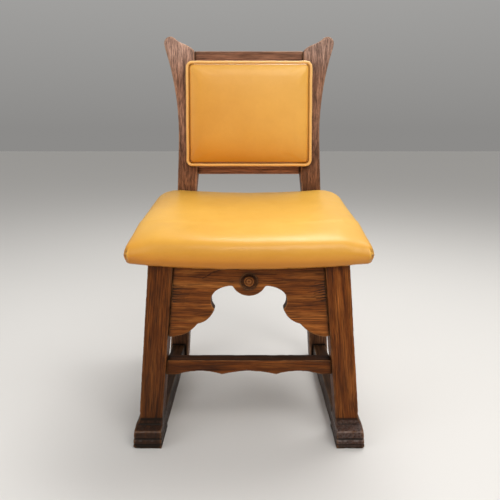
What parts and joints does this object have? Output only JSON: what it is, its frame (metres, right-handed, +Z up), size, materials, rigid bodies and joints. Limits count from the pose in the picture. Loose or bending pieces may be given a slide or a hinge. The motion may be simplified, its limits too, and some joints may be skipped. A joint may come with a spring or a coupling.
{
  "type": "wainscot chair",
  "caption": "Low oak side chair with splayed legs on carved feet, a cusped apron with a turned boss, floor runners, horned raked back posts, and a leather seat and back pad.",
  "frame": {"origin": "middle of the bounding box, on the floor the chair stands on", "axes": "+X to the right as seen from the front, -Y is the way the sitter faces, +Z up"},
  "size_m": [0.471, 0.4874, 0.863],
  "materials": {
    "oak": "stained and waxed oak, worn at the edges",
    "beech": "plain unfinished beech",
    "plywood": "plain birch plywood",
    "foam": "open-cell polyurethane foam",
    "leather": "smooth semi-gloss leather",
    "lining": "plain woven lining cloth",
    "steel": "plain steel"
  },
  "bodies": {
    "root": {"front_leg_left": "oak", "rear_post_left": "oak", "side_runner_left": "oak", "side_seat_rail_left": "oak", "corner_block_front_left": "beech", "corner_block_rear_left": "beech", "front_leg_right": "oak", "rear_post_right": "oak", "side_runner_right": "oak", "side_seat_rail_right": "oak", "corner_block_front_right": "beech", "corner_block_rear_right": "beech", "front_apron": "oak", "apron_boss": "oak", "front_stretcher": "oak", "rear_seat_rail": "oak", "crest_rail": "oak", "lower_back_rail": "oak", "seat_board": "plywood", "seat_foam": "foam", "seat_cover": "leather", "back_lining": "lining", "back_board": "plywood", "back_foam": "foam", "back_cover": "leather", "back_piping": "leather", "corner_block_screws": "steel", "seat_fixing_screws": "steel", "back_fixing_screws": "steel", "seat_cover_tacks": "steel"}
  },
  "joints": []
}
